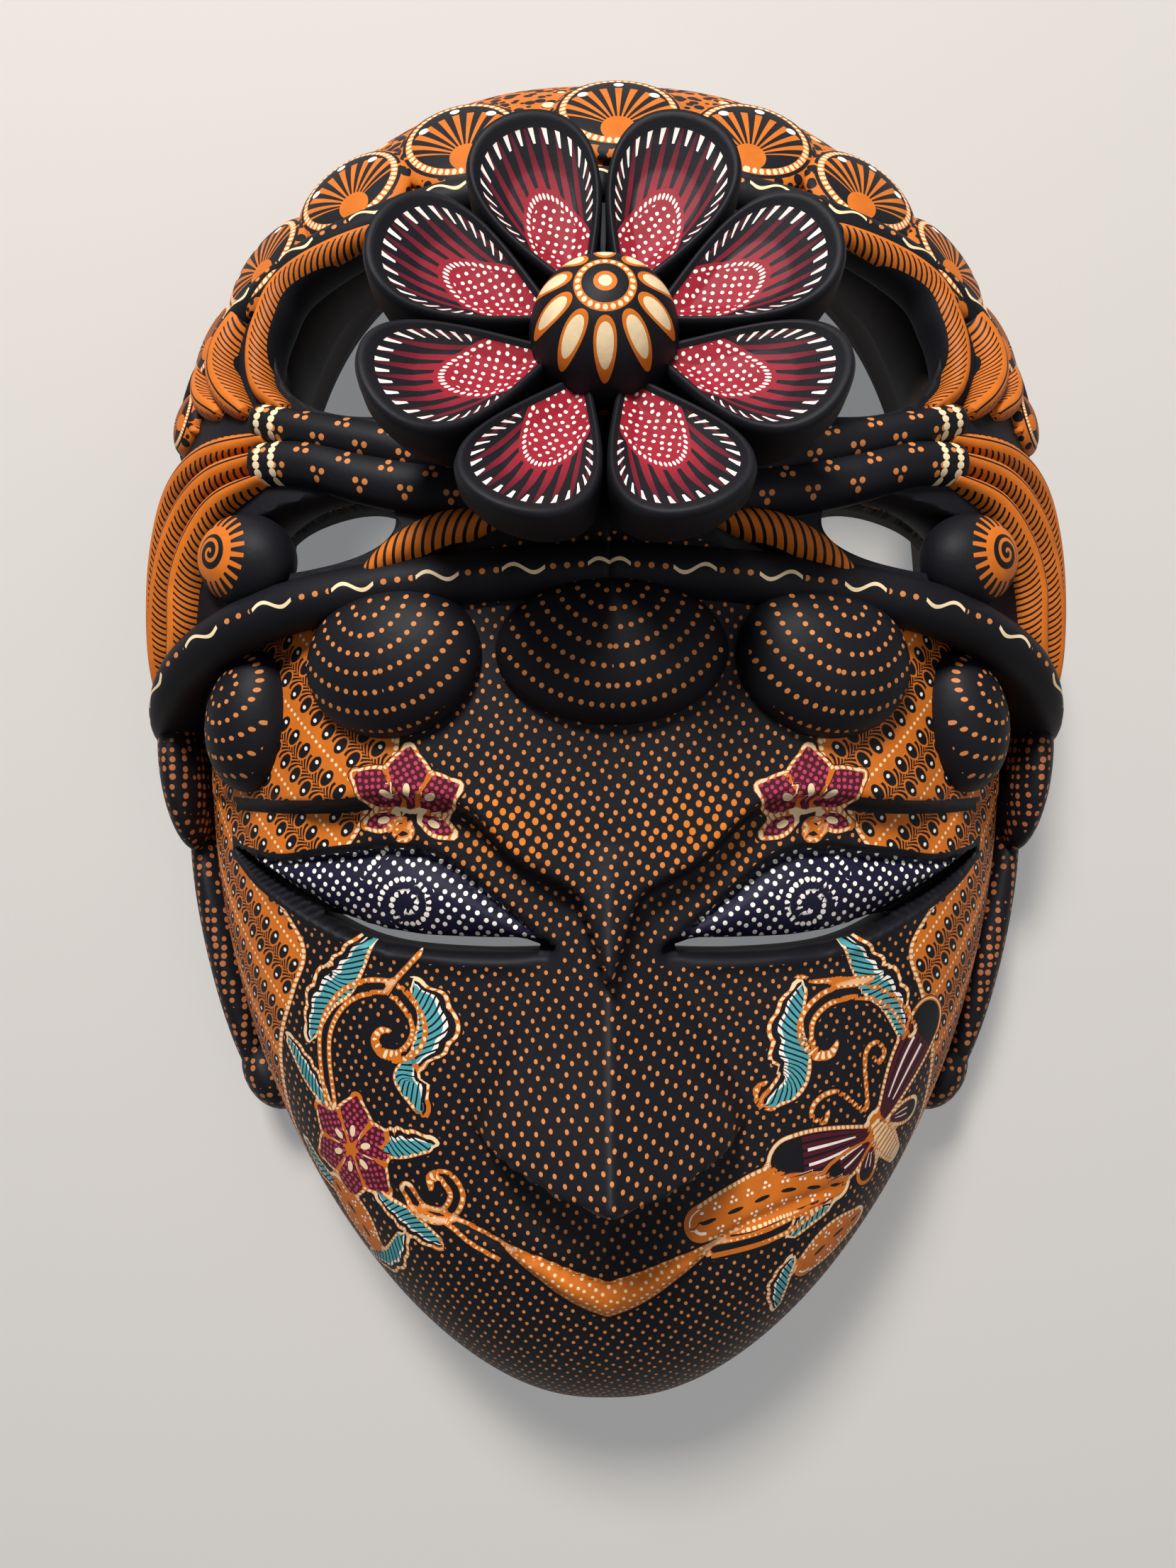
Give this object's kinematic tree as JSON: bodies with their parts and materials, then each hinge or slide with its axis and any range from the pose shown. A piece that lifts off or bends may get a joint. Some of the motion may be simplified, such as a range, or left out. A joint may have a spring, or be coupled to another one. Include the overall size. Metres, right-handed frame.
{
  "type": "carved wooden mask",
  "caption": "Hollow carved face mask with an openwork flower headdress, hair curls and ears, painted all over with dotted patterns; worn or hung on a wall.",
  "frame": {"origin": "centre of the bounding box's bottom, in the plane of the rim the mask lies on", "axes": "+Z out of the face, +Y to the crown of the head, +X to the right in the picture"},
  "size_m": [0.1855, 0.2699, 0.0964],
  "materials": {
    "painted_wood": "matte paint with fine dotted patterns over a near-black ground"
  },
  "bodies": {
    "root": {"mask": "painted_wood"}
  },
  "joints": []
}
